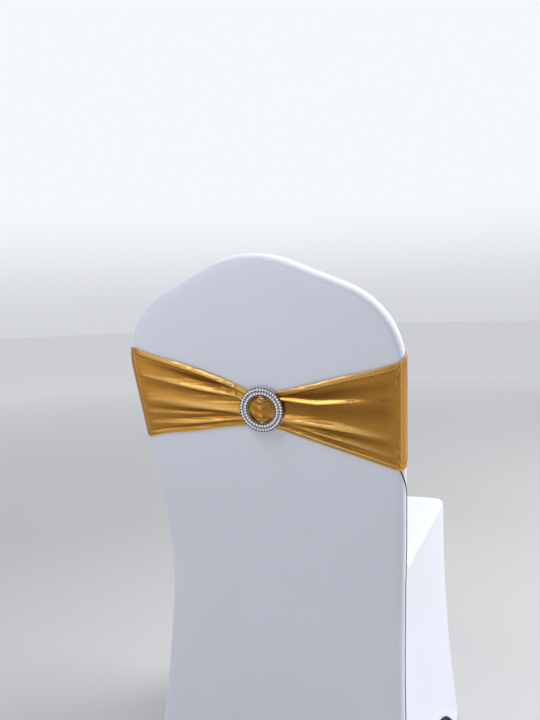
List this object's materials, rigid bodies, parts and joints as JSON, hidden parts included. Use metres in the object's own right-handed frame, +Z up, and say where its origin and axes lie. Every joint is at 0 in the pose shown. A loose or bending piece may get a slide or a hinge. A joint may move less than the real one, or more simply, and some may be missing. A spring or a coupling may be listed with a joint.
{
  "type": "chair cover with sash",
  "caption": "Hollow white stretch cover for a crowned dining chair, with a gold foil sash gathered through a round slider buckle behind the back.",
  "frame": {"origin": "on the floor, under the middle of the whole cover's box", "axes": "+Z up; -Y the way the rear of the chair's back faces, where the sash and buckle show; +X to the right seen from behind the chair"},
  "size_m": [0.4552, 0.5256, 0.9265],
  "materials": {
    "cover_cloth": "smooth matt stretch knit",
    "sash_foil": "satin metallic foil on stretch knit",
    "buckle_metal": "silver metal set with clear faceted stones"
  },
  "bodies": {
    "root": {"rear_panel": "cover_cloth", "inside_back": "cover_cloth", "seat_and_front": "cover_cloth", "side_skirt_left": "cover_cloth", "side_skirt_right": "cover_cloth", "sash_band": "sash_foil", "buckle_ring": "buckle_metal"}
  },
  "joints": []
}
